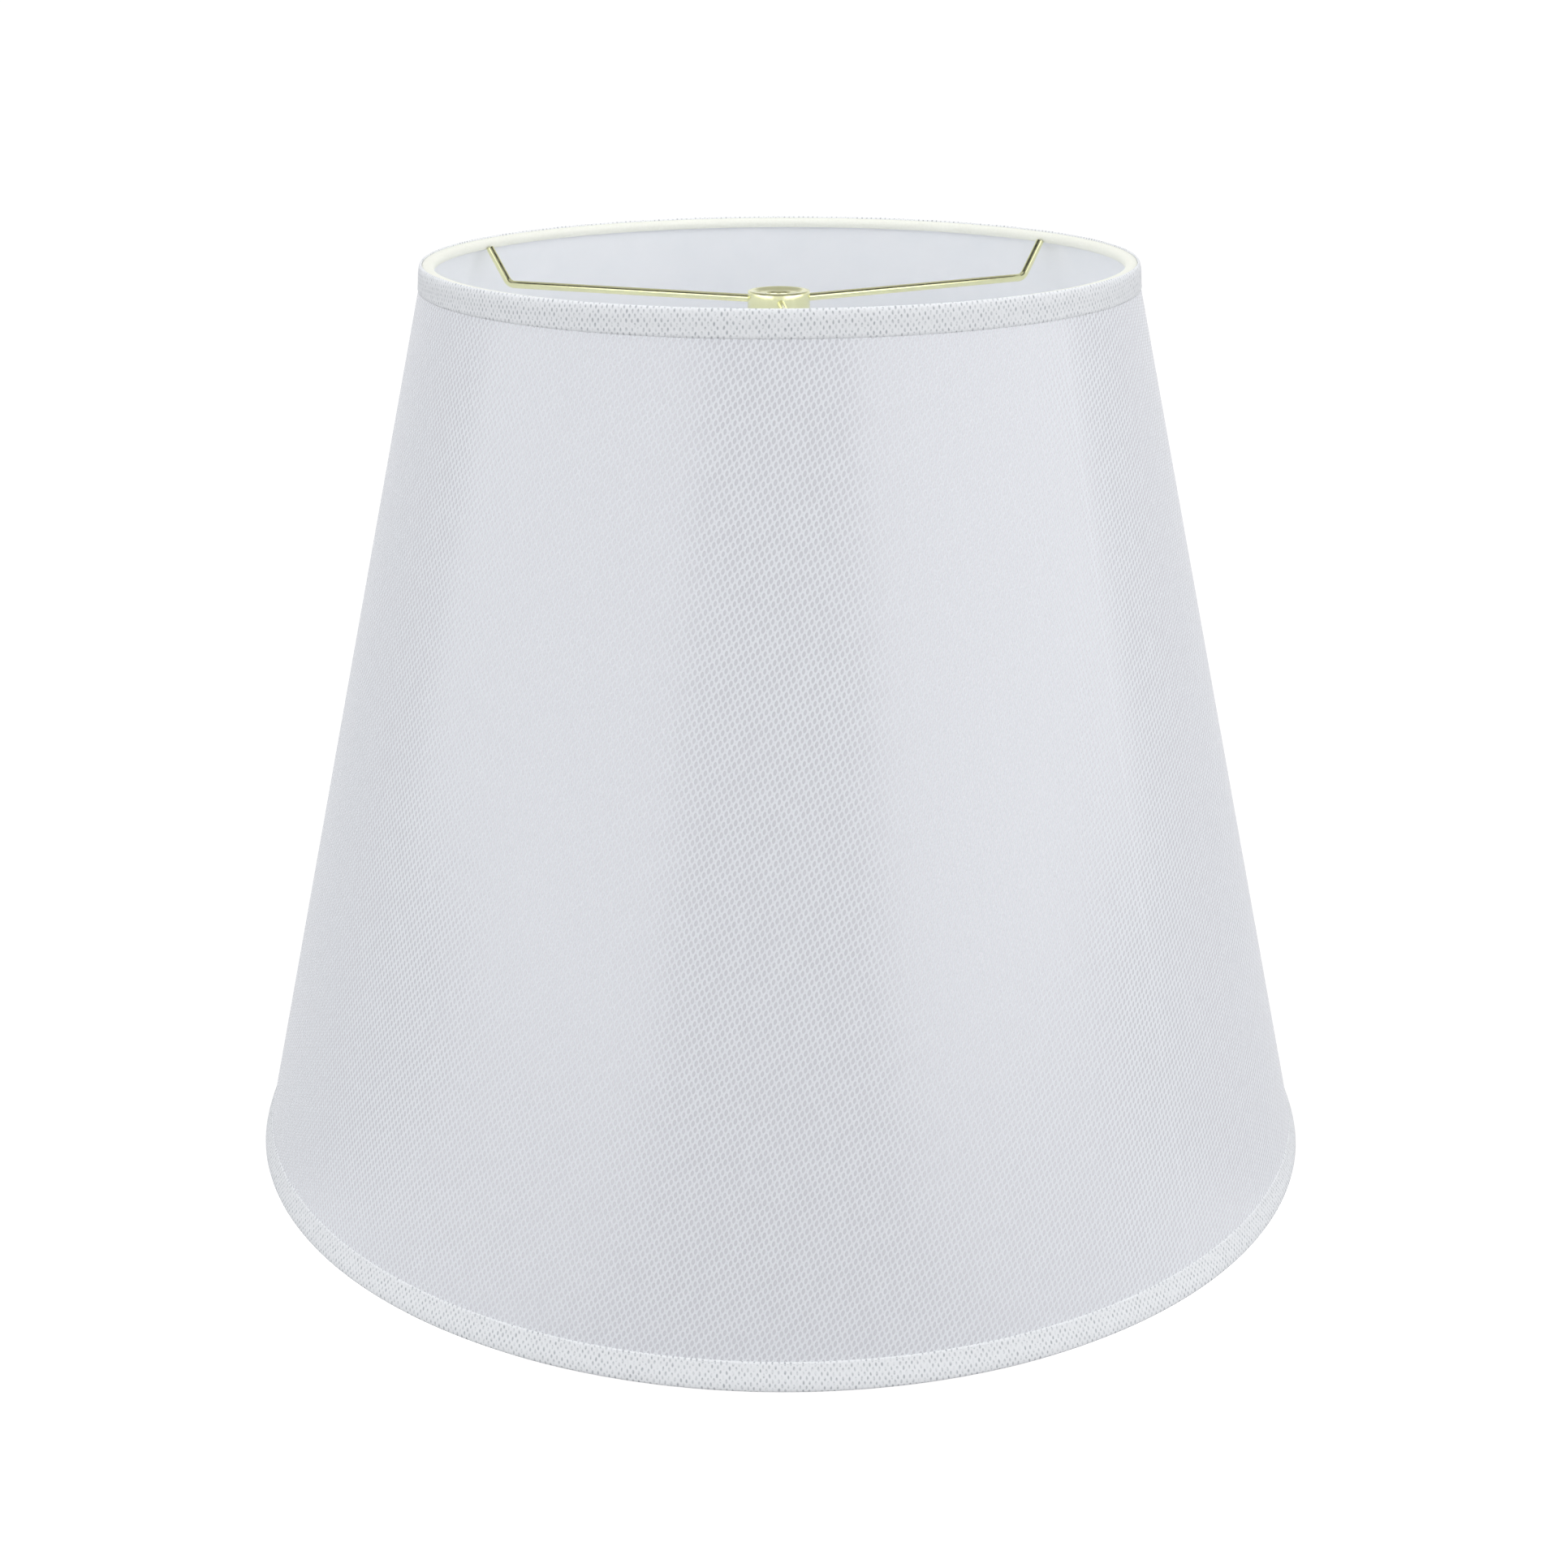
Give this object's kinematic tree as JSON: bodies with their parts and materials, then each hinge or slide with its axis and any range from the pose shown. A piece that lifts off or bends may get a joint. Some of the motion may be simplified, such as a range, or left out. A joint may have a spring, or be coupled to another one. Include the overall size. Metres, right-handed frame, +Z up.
{
  "type": "lamp shade",
  "caption": "White empire lamp shade: knitted mesh over a stiff cone, folded mesh trims, rolled edge tape and a brass washer fitter that sits on a lamp harp.",
  "frame": {"origin": "centre of the bottom edge, on the surface that the shade stands on", "axes": "+Z up along the shade's axis, -Y towards the front, where the front arm points"},
  "size_m": [0.4098, 0.4098, 0.336],
  "materials": {
    "brass": "pale polished brass plate on steel",
    "ring_wire": "drawn steel wire, covered by the tape",
    "styrene": "smooth white styrene sheet, satin",
    "mesh_fabric": "white polyester warp knit with small oval holes, bonded to the liner",
    "trim_fabric": "the same knit folded double, matt",
    "edge_tape": "soft ivory edge tape, matt"
  },
  "bodies": {
    "root": {"spider_hub": "brass", "spider_arm_front": "brass", "spider_arm_back_left": "brass", "spider_arm_back_right": "brass", "top_ring": "ring_wire", "bottom_ring": "ring_wire", "styrene_liner": "styrene", "mesh_cover": "mesh_fabric", "top_edge_tape": "edge_tape", "bottom_edge_tape": "edge_tape", "top_trim": "trim_fabric", "bottom_trim": "trim_fabric"}
  },
  "joints": []
}
